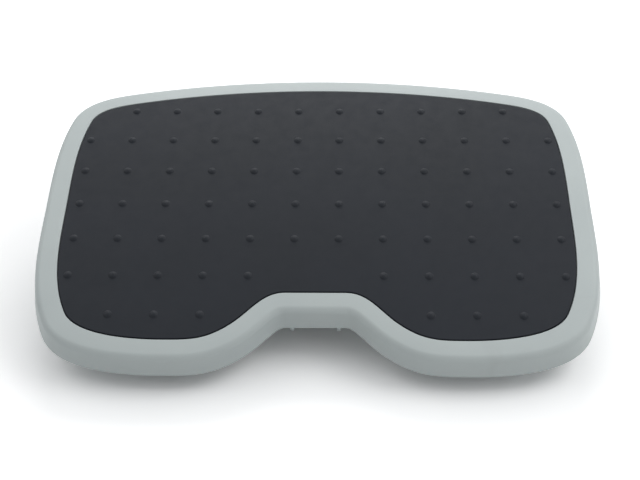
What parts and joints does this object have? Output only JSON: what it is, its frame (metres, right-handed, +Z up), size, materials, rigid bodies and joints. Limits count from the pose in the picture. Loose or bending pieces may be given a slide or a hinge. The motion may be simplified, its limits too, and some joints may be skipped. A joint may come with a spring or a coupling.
{
  "type": "tilting under desk footrest",
  "caption": "Wide crowned footrest platform with a domed rubber mat and a front notch, tilting on a low H shaped base with a toe-released friction lock.",
  "frame": {"origin": "on the floor, below the middle of the tilt axle", "axes": "+X along the tilt axle to the right as the user sits, +Y away from the user, +Z up"},
  "size_m": [0.5686, 0.365, 0.1385],
  "materials": {
    "shell_grey": "fine satin moulded grey",
    "mat_rubber": "matt charcoal with fine grain",
    "dark_plastic": "fine textured dark grey",
    "foot_rubber": "matt black",
    "steel": "zinc plated",
    "nylon": "natural nylon"
  },
  "bodies": {
    "base": {"base_frame": "dark_plastic", "tilt_sector": "dark_plastic", "axle_bush_left": "nylon", "axle_bush_right": "nylon", "rubber_foot_front_left": "foot_rubber", "rubber_foot_front_right": "foot_rubber", "rubber_foot_rear_left": "foot_rubber", "rubber_foot_rear_right": "foot_rubber", "sector_screw_front_left": "steel", "sector_screw_front_right": "steel", "sector_screw_rear_left": "steel", "sector_screw_rear_right": "steel"},
    "platform": {"platform_shell": "shell_grey", "foot_mat": "mat_rubber", "axle_rod": "steel", "retaining_ring_left": "steel", "retaining_ring_right": "steel", "friction_washer_left": "foot_rubber", "friction_washer_right": "foot_rubber", "tilt_stop_pin": "steel", "brake_arm_pin": "steel", "pedal_pin": "steel", "pedal_spring": "steel"},
    "pedal": {"release_pedal": "dark_plastic", "pedal_tread": "foot_rubber"},
    "brake": {"brake_arm": "dark_plastic", "brake_shoe": "foot_rubber"}
  },
  "joints": [
    {"name": "platform_tilt", "type": "hinge", "parent": "base", "child": "platform", "pos_m": [0, 0, 0.077], "axis": [1, 0, 0], "range_deg": [-15, 3]},
    {"name": "pedal_press", "type": "hinge", "parent": "platform", "child": "pedal", "pos_m": [0, -0.11185, 0.03193], "axis": [1, 0, 0], "range_deg": [0, 14], "stiffness_Nm_per_rad": 0.3, "springref_deg": -17.19, "deforming": ["pedal_spring"]},
    {"name": "brake_release", "type": "hinge", "parent": "platform", "child": "brake", "pos_m": [0, -0.0608, 0.0721], "axis": [1, 0, 0], "range_deg": [-11, 0]}
  ],
  "couplings": [
    {"joint": "brake_release", "follows": "pedal_press", "ratio": -0.74}
  ]
}
